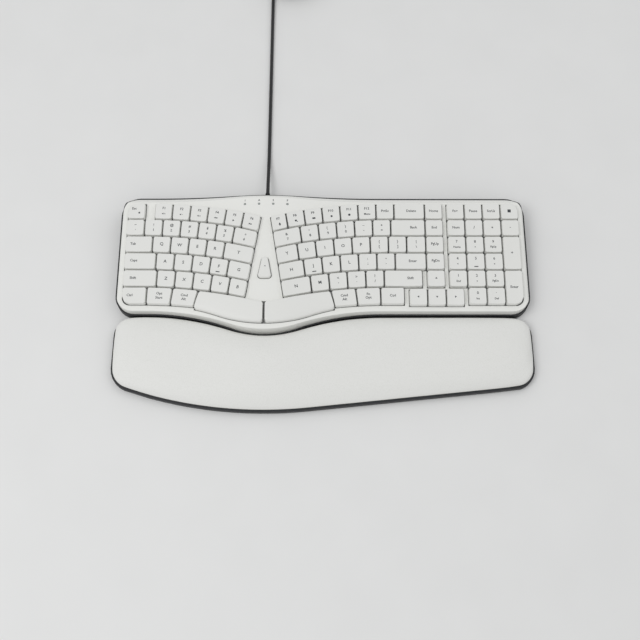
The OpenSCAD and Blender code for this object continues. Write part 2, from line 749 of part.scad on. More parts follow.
// Bottom shell
inner_y = rear_boss_y - rear_boss_r - 0.6;
plate_inset = wall_in + lip_t + 2 * shell_play + 0.4;
foot_inset = 24;
foot_front = 20;
foot_back = 43;
middle_foot_back = 35;
middle_foot_front = 14;
foot_places = concat(
    [for (x = [left_x + foot_inset, right_x - foot_inset]) for (y = [foot_front, back_y - foot_back]) [x, y]],
    [[0, back_y - middle_foot_back], [mid_x, middle_foot_front]]);
palm_foot_inset = 18;
palm_foot_left = [26, 75];
palm_foot_right = [145, 30];
palm_foot_mid = 10;
palm_foot_xs = concat(
    left_x * [1, 1] + palm_foot_left,
    [palm_foot_mid],
    right_x * [1, 1] - palm_foot_right);
palm_foot_places = [for (x = palm_foot_xs) [x, palm_front(x) + palm_foot_inset]];
tilt_inset = 62;
tilt_back = 19;
tilt_places = [left_x + tilt_inset, right_x - tilt_inset];
tilt_axis_y = back_y - tilt_back;
tilt_axis_z = foot_gap + tilt_t / 2 + 0.3;
pocket_wall = 1.6;
pocket_top = tilt_axis_z + tilt_t / 2 + tilt_play;
pocket_w = tilt_w + 2 * tilt_play;
pocket_front = tilt_axis_y - tilt_l - tilt_play - 6;
pocket_back = tilt_axis_y + tilt_t / 2 + tilt_play;
module pocket(x, grow, low, high) {
    translate([x - pocket_w / 2 - grow, pocket_front - grow, low])
        cube([pocket_w + 2 * grow, pocket_back - pocket_front + 2 * grow, high - low]);
}
tongue_w = 24;
tongue_t = 1.6;
tongue_l = 13;
tongue_places = [-95, 70, 205];
nib = [6, 3, 1.2];
module at_tongues() {
    for (x = tongue_places)
        translate([x, 0, 0])
            children();
}
board = [60, 34, 1.6];
board_y = 74;
board_z = 7.6;
board_post_r = 3;
board_posts = [for (x = [-24, 24]) for (y = [5, 29]) [x, board_y + y]];
module pillars() {
    intersection() {
        for (p = post_places)
            translate([p.x, p.y, floor_z - tiny])
                cylinder(r = pillar_r, h = far / 2);
        on_deck()
            wave_block(plate_low, plate_low - far, -far, back_y + far);
    }
}
// The rim stays just under the deck along its rolled ends and its bevel, and comes down in front
shelf_drop = rim_drop + back_bevel * tan(back_bevel_angle);
module rim_solid() {
    intersection() {
        prism(case_outline(0), foot_gap, far);
        on_deck()
            intersection() {
                wave_block(-rim_drop, -far, -far, back_y + far, end_roll);
                union() {
                    bevel_block(rim_drop);
                    wave_block(-shelf_drop, -far, -far, back_y + far);
                }
            }
        translate([left_x - far, 0, 0])
            rotate([90, 0, 90])
                linear_extrude(right_x - left_x + 2 * far)
                    polygon([[-far, 0], [-far, rim_front_z], [corner_r / 2, rim_front_z],
                        [corner_r / 2 + far, rim_front_z + far], [back_y + far, 2 * far], [back_y + far, 0]]);
    }
}
module bottom_case() {
    color(charcoal)
        placed()
            difference() {
                union() {
                    difference() {
                        rim_solid();
                        prism(case_outline(skirt - shell_play), seam_z, 2 * far);
                        prism(case_outline(wall_in + shell_play + lip_t), floor_z, seam_z + 1);
                    }
                    difference() {
                        prism(case_outline(wall_in + shell_play), seam_z - tiny, seam_z + lip_h);
                        prism(case_outline(wall_in + shell_play + lip_t), floor_z, seam_z + lip_h + 1);
                        translate([0, back_y, cord_z])
                            rotate([90, 0, 0])
                                cylinder(d = sleeve_flange + 1, h = 20);
                    }
                    pillars();
                    at_rear_screws()
                        translate([0, 0, floor_z - tiny])
                            cylinder(r = rear_boss_r + 1, h = rear_boss_low - floor_z - shell_play);
                    for (x = tilt_places)
                        pocket(x, pocket_wall, foot_gap, pocket_top + pocket_wall);
                    for (p = board_posts)
                        translate([p.x, p.y, floor_z - tiny])
                            cylinder(r = board_post_r, h = board_z - floor_z);
                    at_tongues()
                        translate([-nib.x / 2, tongue_l - 6, floor_z - tiny])
                            cube(nib);
                }
                at_posts()
                    translate([0, 0, -pillar_web - post_slack - far])
                        cylinder(d = head_room, h = far);
                at_posts()
                    translate([0, 0, -far / 4])
                        cylinder(d = shank_room, h = far);
                at_rear_screws() {
                    translate([0, 0, -1])
                        cylinder(d = head_room, h = rear_seat + 1);
                    cylinder(d = shank_room, h = far / 2);
                    translate([0, 0, rear_boss_low - shell_play])
                        cylinder(r = rear_boss_r + shell_play, h = far);
                }
                for (p = foot_places)
                    translate([p.x, p.y, 0])
                        cylinder(d = foot_dia + 2 * shell_play, h = foot_gap + foot_recess);
                for (x = tilt_places) {
                    pocket(x, 0, 0, pocket_top);
                    translate([x - pocket_w, tilt_axis_y, tilt_axis_z])
                        rotate([0, 90, 0])
                            cylinder(d = tilt_pin + 2 * pin_play, h = 2 * pocket_w);
                }
                translate([0, back_y + 1, cord_z])
                    rotate([90, 0, 0])
                        cylinder(d = sleeve_neck + 2 * shell_play, h = skirt + 2);
                at_tongues()
                    translate([-tongue_w / 2 - shell_play, -nose_drop, floor_z])
                        cube([tongue_w + 2 * shell_play, nose_drop + wall_in + lip_t + 4,
                            tongue_t + 2 * shell_play]);
            }
}

// Top shell with the deck
module bevel_block(drop) {
    translate([0, back_y - skirt - back_bevel, 0])
        rotate([-back_bevel_angle, 0, 0])
            wave_block(-drop, -far - 2 * back_y, -2 * far - back_y, far, 0, 1);
}
module deck_solid(inset, drop) {
    intersection() {
        prism(case_outline(inset), seam_z - (drop == 0 ? 0 : 1), far);
        on_deck()
            intersection() {
                wave_block(-drop, -far, -far, back_y + far, drop == 0 ? end_roll : 0);
                bevel_block(drop);
            }
    }
}
sleeve_flange = 8;
sleeve_neck = 5.4;
light_d = 2.2;
light_back = 11.8;
light_y = back_y - light_back;
light_xs = [-22.5, -7.5, 7.5, 22.5];
light_rim = 3.6;
light_proud = 0.2;
light_seat = 0.25;
light_low = -frame_drop + light_seat;
module at_lights() {
    on_deck()
        for (x = light_xs)
            translate([x, light_y, ridge(x)])
                children();
}
module top_case() {
    color(white)
        placed()
            difference() {
                union() {
                    difference() {
                        deck_solid(skirt, 0);
                        deck_solid(wall_in, shell_t);
                    }
                    intersection() {
                        at_rear_screws()
                            translate([0, 0, rear_boss_low])
                                cylinder(r = rear_boss_r, h = far);
                        deck_solid(skirt + shell_t / 2, shell_t / 2);
                    }
                }
                on_deck()
                    key_windows();
                at_rear_screws()
                    cylinder(d = shank_room, h = rear_seat + screw_l + 1);
                translate([0, back_y + 1, cord_z])
                    rotate([90, 0, 0])
                        cylinder(d = sleeve_neck + 2 * shell_play, h = wall_in + 2);
                at_lights()
                    translate([0, 0, -far / 2])
                        cylinder(d = light_d + 2 * shell_play, h = far);
            }
}

// Key frame, contact sheet and back plate, three layers that follow the deck
module layer(top, bottom, inset) {
    intersection() {
        prism(case_outline(plate_inset + inset), -far, far);
        wave_block(top, bottom, -far, inner_y - inset);
    }
}
frame_low = -frame_drop - frame_t;
module key_frame() {
    color("#3a3b3e")
        placed()
            on_deck()
                difference() {
                    union() {
                        layer(-frame_drop, frame_low, 0);
                        for (p = post_places)
                            translate([p.x, p.y, ridge(p.x) + sheet_low + post_slack])
                                cylinder(r = post_r, h = frame_low - sheet_low);
                    }
                    at_stems()
                        translate([-stem_w / 2 - stem_play, -stem_w / 2 - stem_play, -far / 2])
                            cube([stem_w + 2 * stem_play, stem_w + 2 * stem_play, far]);
                    for (p = post_places)
                        translate([p.x, p.y, ridge(p.x) - far / 2 - frame_drop - 1])
                            cylinder(d = shank_room, h = far / 2);
                }
}
sheet_inset = 0.6;
module contact_sheet() {
    color("#c9c6b4")
        placed() {
            on_deck()
                difference() {
                    layer(-sheet_drop, sheet_low, sheet_inset);
                    for (p = post_places)
                        translate([p.x, p.y, ridge(p.x) - far / 2])
                            cylinder(r = post_r + 0.4, h = far);
                }
        }
}
module back_plate() {
    color("#9a9c9e")
        placed()
            on_deck()
                difference() {
                    layer(sheet_low, plate_low, 2);
                    for (p = post_places)
                        translate([p.x, p.y, ridge(p.x) - far / 2])
                            cylinder(d = shank_room, h = far);
                }
}
// A dome stands square to the sheet, with the middle of its neck on the axis of its stem
dome_base = 6.4;
dome_seat = 0.06;
dome_rim = 0.3;
module rubber_domes() {
    color("#d8d8d2")
        placed()
            on_deck()
                for (p = stem_places) {
                    lean = ridge_angle(p.x);
                    back = dome_h / 2 * sin(lean);
                    translate([p.x + back, p.y, ridge(p.x) + back * tan(lean) - sheet_drop + dome_seat])
                        rotate([0, -lean, 0])
                            rotate_extrude()
                                polygon([[0, 0], [dome_base / 2, 0], [dome_base / 2, dome_rim],
                                    [dome_neck / 2, 2 * dome_rim], [dome_neck / 2, dome_h], [0, dome_h]]);
                }
}

// Electronics on posts under the ridge
module controller_board() {
    chip = [9, 9, 1.4];
    socket = [24, 5, 2];
    color("#2f5d3a")
        placed()
            translate([0, board_y, board_z]) {
                translate([-board.x / 2, 0, 0])
                    cube(board);
                translate([-chip.x / 2 - 16, 8, board.z - tiny])
                    cube(chip);
                translate([-socket.x / 2, 2, board.z - tiny])
                    cube(socket);
            }
}
clamp = [30, 6, 2.5];
module tail_clamp() {
    color("#6d6f72")
        placed()
            translate([-clamp.x / 2, board_y + board.y - 9, board_z + board.z])
                cube(clamp);
}
module indicator_lights() {
    color("#b9d6a0")
        placed()
            at_lights() {
                translate([0, 0, light_low])
                    cylinder(d = light_d, h = light_proud - light_low);
                translate([0, 0, light_low])
                    cylinder(d = light_rim, h = -shell_t - light_seat - light_low);
            }
}

// Palm rest
palm_rim = 3;
pad_z = seam_z;
module palm_rest_base() {
    color(charcoal)
        placed()
            difference() {
                union() {
                    difference() {
                        prism(palm_outline(0), foot_gap, pad_z);
                        prism(palm_outline(palm_rim), floor_z, pad_z + 1);
                    }
                    for (x = steps(left_x + 60, right_x - 60, 4))
                        translate([x - 1, palm_front(x) + 1, floor_z - tiny])
                            cube([2, palm_back(x) - palm_front(x) - 2, pad_z - floor_z]);
                    at_tongues()
                        translate([-tongue_w / 2, -nose_drop / 2, floor_z + shell_play])
                            cube([tongue_w, nose_drop / 2 + tongue_l, tongue_t]);
                }
                at_tongues()
                    translate([-nib.x / 2 - shell_play, tongue_l - 6 - shell_play, floor_z])
                        cube([nib.x + 2 * shell_play, nib.y + 2 * shell_play, far]);
                for (p = palm_foot_places)
                    translate([p.x, p.y, 0])
                        cylinder(d = foot_dia + 2 * shell_play, h = foot_gap + foot_recess);
            }
}
// Crowned pad: cross-sections from front to back, with drawn-in sides and rolled ends
pad_tuck = 0.8;
pad_back_inset = 0.5;
pad_roll = 16;
pad_profile = [for (a = steps(0, 180, 14)) a];
function pad_back_z(x) =
    deck_h + ridge(x) - palm_step + case_front(x) * slope_tan;
function pad_section(x) =
    let (end = min(x - left_x - skirt, right_x - skirt - x))
    let (tuck = end < pad_roll ? 1 - sqrt(max(0, 1 - pow(1 - end / pad_roll, 2))) : 0)
    let (y0 = palm_front(x, skirt))
    let (y1 = palm_back(x, pad_back_inset))
    let (rear = (pad_back_z(x) - pad_z) * (1 - 0.6 * tuck))
    let (front = palm_front_h * (1 - 0.4 * tuck))
    concat(
        [[x, y0 + pad_tuck, pad_z], [x, y1 - pad_tuck, pad_z]],
        [for (a = flip(pad_profile))
            let (v = (1 - cos(a)) / 2)
            let (rise = front + (rear - front) * v * v * (3 - 2 * v) + palm_crown * sin(a) * (1 - tuck))
            [x, y0 + (y1 - y0) * v, pad_z + rise * pow(sin(a), 0.45) * 0.7 + rise * 0.3]]);
module palm_rest_pad() {
    xs = palm_xs(skirt);
    color(white)
        placed()
            loft([for (x = xs) pad_section(x)]);
}

// Feet
module rubber_feet() {
    color("#1c1c1d")
        placed()
            for (p = concat(foot_places, palm_foot_places))
                translate([p.x, p.y, 0])
                    cylinder(d = foot_dia, h = foot_gap + foot_recess);
}
module tilt_foot(x) {
    pad_l = 5;
    color(charcoal)
        placed()
            translate([x, tilt_axis_y, tilt_axis_z])
                difference() {
                    union() {
                        rotate([0, 90, 0])
                            cylinder(d = tilt_t, h = tilt_w, center = true);
                        rotate([0, 90, 0])
                            cylinder(d = tilt_pin, h = pocket_w + 2 * pocket_wall - 0.4, center = true);
                        translate([-tilt_w / 2, -tilt_l, -tilt_t / 2])
                            cube([tilt_w, tilt_l, tilt_t]);
                    }
                    translate([-tilt_w / 2 + 4, -tilt_l + pad_l, -tilt_t])
                        cube([tilt_w - 8, tilt_l - pad_l - 5, tilt_t]);
                }
}
module tilt_foot_left() {
    tilt_foot(tilt_places[0]);
}
module tilt_foot_right() {
    tilt_foot(tilt_places[1]);
}

// Cord: sleeve, free run along the table, coil, plug
cord_r = cord_d / 2;
sleeve_in = back_y - wall_in;
sleeve_out = wall_in + shell_play;
flange_t = 2;
collar_r = sleeve_neck / 2 + 0.9;
collar_t = 1.6;
sleeve_tip_r = cord_r + 0.5;
sleeve_end = sleeve_out + sleeve_l;
module strain_relief() {
    color("#1c1c1d")
        placed()
            translate([0, sleeve_in, cord_z])
                rotate([-90, 0, 0])
                    rotate_extrude()
                        polygon([[0, -flange_t], [sleeve_flange / 2, -flange_t],
                            [sleeve_flange / 2, -shell_play], [sleeve_neck / 2, -shell_play],
                            [sleeve_neck / 2, sleeve_out], [collar_r, sleeve_out],
                            [collar_r, sleeve_out + collar_t], [sleeve_tip_r, sleeve_end], [0, sleeve_end]]);
}
tie_t = 1;
coil_lift = tie_t + 0.3;
cord_start = [0, sleeve_in + sleeve_end, cord_z];
cord_route = [
    [0, 150, 10.7], [0, 160, 9.2], [0, 171, 6.6], [0, 182, 4.2], [0, 194, 2.6], [0, 208, 2], [0, 225, 1.95],
    [0, 245, 1.95], [0, 270, 1.95], [0, 300, 1.95], [0, 330, 1.95], [0, 360, 2.05], [0, 390, 2.4], [0, 415, 2.9]
];
coil_centre = [coil_r, 446, cord_r + coil_lift];
coil_pitch = cord_d + coil_gap;
coil_in = coil_r - coil_turns * coil_pitch;
coil_end_turns = coil_turns * coil_layers;
// Radius and height at a number of turns: in and out again, up a layer where the spiral turns back
function coil_radius(t) =
    let (k = min(floor(t / coil_turns), coil_layers - 1))
    let (part = t - k * coil_turns)
    k % 2 == 0 ? coil_r - part * coil_pitch : coil_in + part * coil_pitch;
function smooth(v) = let (s = min(1, max(0, v))) s * s * (3 - 2 * s);
function coil_height(t) =
    coil_pitch * (len([for (k = [1 : coil_layers - 1]) if (t >= k * coil_turns + 0.25) k]) == coil_layers - 1
        ? coil_layers - 1
        : sum_list([for (k = [1 : coil_layers - 1]) smooth((t - k * coil_turns + 0.25) * 2)]));
function sum_list(v) = v * [for (i = v) 1];
function coil_point(t) =
    coil_centre + [-coil_radius(t) * cos(360 * t), coil_radius(t) * sin(360 * t), coil_height(t)];
loop_rings = 24;
coil_points = [for (t = steps(0, coil_end_turns, coil_end_turns * loop_rings)) coil_point(t)];
coil_entry = [0, coil_centre.y - cord_d, coil_centre.z];
// The tail runs on straight from the last loop and comes down beside the coil
tail_l = 46;
coil_top = coil_points[len(coil_points) - 1];
tail_end = [coil_top.x, coil_top.y + tail_l, cord_r + 1.4];
tail_points = [for (v = steps(0.12, 1, 8))
    [coil_top.x, coil_top.y + tail_l * v, tail_end.z + (coil_top.z - tail_end.z) * (1 - smooth(v * 1.05))]];
coil_route = concat([coil_entry], coil_points, tail_points, [tail_end + [0, cord_d, 0]]);
cable_route = concat([cord_start], cord_route, [coil_entry]);
plug_start = tail_end + [0, cord_d, 0];
// A tube along a route, with its rings square to it
function along(route, i) =
    let (a = route[max(i - 1, 0)])
    let (b = route[min(i + 1, len(route) - 1)])
    (b - a) / norm(b - a);
function ring_at(p, dir, r, sides) =
    let (side = cross(dir, [0, 0, 1]) / norm(cross(dir, [0, 0, 1])))
    let (up = cross(side, dir))
    [for (i = [0 : sides - 1]) p + r * (cos(360 * i / sides) * side - sin(360 * i / sides) * up)];
module tube(route, r, sides) {
    last = len(route) - 1;
    loft([for (i = [0 : last])
        let (dir = i == 0 || i == last ? [0, 1, 0] : along(route, i))
        ring_at(route[i], dir, r, sides)]);
}
// Least gap between loops, measured on the route's own points more than half a loop apart
apart = loop_rings / 2;
coil_clear = min([for (i = [0 : len(coil_route) - 1]) for (j = [i + apart : 1 : len(coil_route) - 1])
    norm(coil_route[i] - coil_route[j])]) - cord_d;
echo(coil_gap_mm = coil_clear);
module cable() {
    color("#161617")
        placed()
            tube(cable_route, cord_r, 8);
}
module cable_coil() {
    color("#161617")
        placed()
            tube(coil_route, cord_r, 6);
}
tie_w = 7;
tie_play = 0.3;
module cable_tie() {
    in_x = coil_in - cord_r - tie_play;
    out_x = coil_r + cord_r + tie_play;
    high = coil_centre.z + (coil_layers - 1) * coil_pitch + cord_r + tie_play;
    color("#26272a")
        placed()
            translate([coil_centre.x, coil_centre.y, 0])
                difference() {
                    translate([in_x - tie_t, -tie_w / 2, 0])
                        cube([out_x - in_x + 2 * tie_t, tie_w, high + tie_t]);
                    translate([in_x, -tie_w, tie_t])
                        cube([out_x - in_x, 2 * tie_w, high - tie_t]);
                }
}
grip_w = 16;
grip_h = 8;
grip_z = plug_start.z;
module plug_grip() {
    color("#1c1c1d")
        placed()
            translate([plug_start.x, plug_start.y, grip_z])
                rotate([-90, 0, 0])
                    difference() {
                        union() {
                            linear_extrude(6)
                                circle(r = grip_h / 2 - 1);
                            translate([0, 0, 5])
                                linear_extrude(grip_l - 5)
                                    square([grip_w, 2 * min(grip_h / 2, grip_z)], center = true);
                        }
                        translate([0, 0, grip_l - 3])
                            linear_extrude(4)
                                square([plug_w + 2 * shell_play, plug_h + 2 * shell_play], center = true);
                    }
}
module plug_shell() {
    sheet = 0.4;
    color("#b8babd")
        placed()
            translate([plug_start.x, plug_start.y + grip_l - 3, grip_z])
                rotate([-90, 0, 0])
                    difference() {
                        linear_extrude(plug_l + 3)
                            square([plug_w, plug_h], center = true);
                        translate([0, 0, 3])
                            linear_extrude(plug_l + 1)
                                difference() {
                                    square([plug_w - 2 * sheet, plug_h - 2 * sheet], center = true);
                                    translate([0, plug_h / 4])
                                        square([plug_w, plug_h / 2 - 0.4], center = true);
                                }
                    }
}

bottom_case();
top_case();
key_frame();
rubber_domes();
contact_sheet();
back_plate();
controller_board();
tail_clamp();
indicator_lights();
screws();
palm_rest_base();
palm_rest_pad();
rubber_feet();
tilt_foot_left();
tilt_foot_right();
strain_relief();
cable();
cable_coil();
cable_tie();
plug_grip();
plug_shell();
caps([left_rows[0][0]], 3);  // key_escape
caps([for (i = [1 : 6]) left_rows[0][i]]);  // keys_function_left
caps(left_rows[1]);  // keys_number_left
caps([left_rows[2][0]]);  // key_tab
caps([for (i = [1 : 5]) left_rows[2][i]]);  // keys_upper_left
caps([left_rows[3][0]]);  // key_caps_lock
caps([for (i = [1 : 5]) left_rows[3][i]]);  // keys_home_left
caps([left_rows[4][0]]);  // key_shift_left
caps([for (i = [1 : 5]) left_rows[4][i]]);  // keys_lower_left
caps(left_rows[5], 0);  // keys_modifier_left
space_bar(LEFT);  // space_bar_left
caps([right_rows[0][0]]);  // key_delete
caps([for (i = [1 : 7]) right_rows[0][i]]);  // keys_function_right
caps([right_rows[1][0]]);  // key_backspace
caps([for (i = [1 : 6]) right_rows[1][i]]);  // keys_number_right
caps(right_rows[2]);  // keys_upper_right
caps([right_rows[3][0]]);  // key_enter
caps([for (i = [1 : 6]) right_rows[3][i]]);  // keys_home_right
caps([right_rows[4][0]]);  // key_shift_right
caps([for (i = [1 : 5]) right_rows[4][i]]);  // keys_lower_right
caps(right_rows[5]);  // keys_modifier_right
space_bar(RIGHT);  // space_bar_right
caps(nav_cells);  // keys_navigation
caps([arrow_up_cell]);  // key_arrow_up
caps([arrow_cells[0]]);  // key_arrow_left
caps([arrow_cells[1]]);  // key_arrow_down
caps([arrow_cells[2]]);  // key_arrow_right
caps(pad_cells(1, [0 : 3]), 2, 3);  // keys_pad_row_1
caps(pad_cells(2, [0 : 3]));  // keys_pad_row_2
caps(pad_cells(3, [0 : 2]));  // keys_pad_row_3
caps(pad_cells(4, [0 : 2]));  // keys_pad_row_4
caps(pad_cells(5, [0 : 2]));  // keys_pad_row_5
caps(pad_cells(6, [1 : 2]));  // keys_pad_row_6
caps([pad_plus_cell]);  // key_pad_plus
caps([pad_enter_cell], 1);  // key_pad_enter
centre_button();
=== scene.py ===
"""A wired split keyboard with fanned keys and a padded palm rest, dressed for its picture.

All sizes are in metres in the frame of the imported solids: x to the right, y away from the typist,
z up. Sizes that the maker would give in millimetres are written as a number times MM.
"""

import math

import bmesh
import bpy
from mathutils import Matrix, Vector
from mathutils.bvhtree import BVHTree


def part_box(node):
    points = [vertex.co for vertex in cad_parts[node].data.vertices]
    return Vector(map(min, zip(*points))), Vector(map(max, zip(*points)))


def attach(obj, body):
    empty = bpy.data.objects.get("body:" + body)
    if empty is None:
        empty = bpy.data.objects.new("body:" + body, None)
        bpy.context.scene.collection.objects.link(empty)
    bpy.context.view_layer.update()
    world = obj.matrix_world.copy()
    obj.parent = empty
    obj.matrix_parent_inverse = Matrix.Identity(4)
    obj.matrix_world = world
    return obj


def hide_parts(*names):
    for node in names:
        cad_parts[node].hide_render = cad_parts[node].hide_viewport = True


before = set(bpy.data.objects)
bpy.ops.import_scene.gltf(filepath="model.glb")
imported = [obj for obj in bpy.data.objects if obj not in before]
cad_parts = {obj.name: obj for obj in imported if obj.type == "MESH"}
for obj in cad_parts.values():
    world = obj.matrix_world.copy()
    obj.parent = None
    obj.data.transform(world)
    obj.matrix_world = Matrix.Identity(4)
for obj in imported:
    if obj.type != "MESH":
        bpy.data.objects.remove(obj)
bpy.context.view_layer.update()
MM = 0.001


# Table and studio: a wide table with a pale matt laminate top, one large soft lamp behind the
# typist's left shoulder, a weaker one on the right, and an even pale room around.
def linear(code):
    """An sRGB hex colour as linear red, green, blue and alpha."""
    parts = [int(code[i : i + 2], 16) / 255 for i in (1, 3, 5)]
    bright = [p / 12.92 if p <= 0.04045 else ((p + 0.055) / 1.055) ** 2.4 for p in parts]
    return [*bright, 1.0]


def add(tree, kind, sockets=None, **settings):
    """Adds a node with its settings. A socket takes a value or another node's output."""
    made = tree.nodes.new(kind)
    for name, value in settings.items():
        setattr(made, name, value)
    for name, value in (sockets or {}).items():
        if isinstance(value, bpy.types.NodeSocket):
            tree.links.new(value, made.inputs[name])
        else:
            made.inputs[name].default_value = value
    return made


def new_material(name, **sockets):
    """A material, its node tree and its shader, whose sockets take these values."""
    made = bpy.data.materials.new(name)
    made.use_nodes = True
    shader = made.node_tree.nodes["Principled BSDF"]
    for socket, value in sockets.items():
        shader.inputs[socket.replace("_", " ").title().replace("Ior", "IOR")].default_value = value
    return made, made.node_tree, shader


def two_tone(name, low, high, grain, relief=0.0, gloss=None, kind="Noise", **sockets):
    """A material whose two tones mix in a pattern with this grain in millimetres.

    Relief is the depth of the pattern in millimetres. Gloss gives the roughness at its two ends.
    """
    made, tree, shader = new_material(name, **sockets)
    place = add(tree, "ShaderNodeTexCoord").outputs["Object"]
    pattern = add(tree, f"ShaderNodeTex{kind}", {"Vector": place, "Scale": 1 / (grain * MM)})
    share = pattern.outputs[0]
    tone = add(tree, "ShaderNodeMix", {0: share, 6: linear(low), 7: linear(high)}, data_type="RGBA")
    tree.links.new(tone.outputs[2], shader.inputs["Base Color"])
    if gloss:
        ends = {"Value": share, "To Min": gloss[0], "To Max": gloss[1]}
        rough = add(tree, "ShaderNodeMapRange", ends)
        tree.links.new(rough.outputs[0], shader.inputs["Roughness"])
    if relief:
        bump = add(tree, "ShaderNodeBump", {"Height": share, "Distance": relief * MM})
        tree.links.new(bump.outputs[0], shader.inputs["Normal"])
    return made


def new_piece(name, made, *materials):
    """An object at the origin that holds this bmesh, shaded smooth where faces nearly meet flush."""
    mesh = bpy.data.meshes.new(name)
    made.to_mesh(mesh)
    made.free()
    for material in materials:
        mesh.materials.append(material)
    mesh.polygons.foreach_set("use_smooth", [True] * len(mesh.polygons))
    mesh.set_sharp_from_angle(angle=math.radians(32))
    piece = bpy.data.objects.new(name, mesh)
    bpy.context.scene.collection.objects.link(piece)
    return piece


# Melamine laminate: an even off-white with clouds so faint that it reads as one calm surface.
laminate = two_tone("melamine_laminate", "#e5e5e4", "#eaeae9", 60, gloss=(0.55, 0.65))
disc = bmesh.new()
bmesh.ops.create_circle(disc, cap_ends=True, segments=96, radius=5.0)
table = new_piece("table_top", disc, laminate)

scene = bpy.context.scene
scene.view_settings.view_transform = "Standard"
world = bpy.data.worlds.new("room")
world.use_nodes = True
scene.world = world
room = world.node_tree.nodes["Background"]
room.inputs["Color"].default_value = linear("#f4f5f6")
room.inputs["Strength"].default_value = 0.65


def lamp(name, place, power, size):
    """A square soft lamp that points at the middle of the keyboard."""
    light = bpy.data.lights.new(name, "AREA")
    light.energy = power
    light.size = size
    made = bpy.data.objects.new(name, light)
    made.location = place
    made.rotation_euler = (-Vector(place)).to_track_quat("-Z", "Y").to_euler()
    scene.collection.objects.link(made)


lamp("key_lamp", (-1.1, -0.5, 1.9), 15, 1.2)
lamp("fill_lamp", (1.3, 0.7, 1.5), 4, 1.4)

# Camera: a 50 mm lens 0.87 m above the table, a quarter of a metre in front of the palm rest,
# that looks down at 69 degrees.
camera_data = bpy.data.cameras.new("camera")
camera_data.sensor_width = 36
camera_data.lens = 50.26
camera = bpy.data.objects.new("camera", camera_data)
camera.location = (-2.4 * MM, -355.3 * MM, 867.8 * MM)
camera.rotation_euler = (math.radians(21.4), 0, math.radians(0.08))
scene.collection.objects.link(camera)
scene.camera = camera


# Cord: a round PVC jacket over fine stranded wires. It leaves the middle of the back wall, comes
# down to the table in a low bend and runs straight back. The spare length is wound up behind.
SPLIT = Vector((-60, -14.5, 0))
CORD_D = 3.8
COIL_R = 27.4
COIL_Y = 446
COIL_TURNS = 2
COIL_LAYERS = 4
COIL_PITCH = CORD_D + 0.5
COIL_LIFT = 1.3
LOOP_POINTS = 24


def on_frame(x, y, z):
    """A point that is given in millimetres from the split and the case's front edge."""
    return (SPLIT + Vector((x, y, z))) * MM


def smooth(share):
    """From 0 to 1, with a level start and end."""
    share = min(1, max(0, share))
    return share * share * (3 - 2 * share)


def coil_point(turns):
    """In and out again, and up a layer where the spiral turns back."""
    layer = min(int(turns / COIL_TURNS + 1e-9), COIL_LAYERS - 1)
    part = turns - layer * COIL_TURNS
    inwards = part if layer % 2 == 0 else COIL_TURNS - part
    radius = COIL_R - inwards * COIL_PITCH
    climbs = [smooth((turns - k * COIL_TURNS + 0.25) * 2) for k in range(1, COIL_LAYERS)]
    angle = 2 * math.pi * turns
    return Vector(
        (
            COIL_R - radius * math.cos(angle),
            COIL_Y + radius * math.sin(angle),
            CORD_D / 2 + COIL_LIFT + COIL_PITCH * sum(climbs),
        )
    )


cord_exit = (0, 143.2, 11)
fall = [(150, 10.7), (160, 9.2), (171, 6.6), (182, 4.2), (194, 2.6), (208, 2)]
run = [(y, 1.95) for y in (225, 245, 270, 300, 330)]
run += [(360, 2.05), (390, 2.4), (415, 2.9)]
route = [cord_exit]
route += [(0, y, z) for y, z in fall + run]
route += [(0, COIL_Y - CORD_D, CORD_D / 2 + COIL_LIFT)]
coil_ends = COIL_TURNS * COIL_LAYERS
route += [coil_point(i / LOOP_POINTS) for i in range(coil_ends * LOOP_POINTS + 1)]
coil_top = coil_point(coil_ends)
TAIL_L = 46
TAIL_Z = CORD_D / 2 + 1.4
TAIL_STEPS = 8
TAIL_FROM = 0.12
for i in range(TAIL_STEPS + 1):
    share = TAIL_FROM + (1 - TAIL_FROM) * i / TAIL_STEPS
    drop = (coil_top.z - TAIL_Z) * (1 - smooth(share * 1.05))
    route.append((coil_top.x, coil_top.y + TAIL_L * share, TAIL_Z + drop))
plug_start = (coil_top.x, coil_top.y + TAIL_L + CORD_D, TAIL_Z)
route.append(plug_start)

# Soft PVC: a black jacket with a dull gloss and the faint mottle of the extruder's die.
pvc = two_tone("extruded_pvc", "#141415", "#202123", 1.6, 0.015, (0.38, 0.56), ior=1.53)

cord_line = bpy.data.curves.new("cord", "CURVE")
cord_line.dimensions = "3D"
cord_line.bevel_depth = CORD_D / 2 * MM
cord_line.bevel_resolution = 3
cord_line.resolution_u = 3
cord_line.use_fill_caps = True
spline = cord_line.splines.new("BEZIER")
spline.bezier_points.add(len(route) - 1)
for knot, point in zip(spline.bezier_points, route):
    knot.co = on_frame(*point)
    knot.handle_left_type = "AUTO"
    knot.handle_right_type = "AUTO"
cord_line.materials.append(pvc)
cord = bpy.data.objects.new("cord", cord_line)
scene.collection.objects.link(cord)
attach(cord, "case")
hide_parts("cable", "cable_coil")


def merged_copy(node, gap=0.002 * MM, flat=0.4):
    """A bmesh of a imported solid, with its triangles joined into the flat faces that they make up."""
    made = bmesh.new()
    made.from_mesh(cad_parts[node].data)
    bmesh.ops.remove_doubles(made, verts=made.verts, dist=gap)
    bmesh.ops.dissolve_limit(made, angle_limit=math.radians(flat), verts=made.verts, edges=made.edges)
    return made


def round_edges(made, width, segments=3, sharpest=35, wanted=None):
    """Rounds the edges that are sharper than this many degrees."""
    limit = math.radians(sharpest)
    edges = [e for e in made.edges if len(e.link_faces) == 2 and e.calc_face_angle() > limit]
    if wanted:
        edges = [e for e in edges if wanted(e)]
    bmesh.ops.bevel(
        made,
        geom=edges,
        offset=width,
        offset_type="OFFSET",
        affect="EDGES",
        segments=segments,
        profile=0.5,
        material=-1,
        clamp_overlap=True,
    )


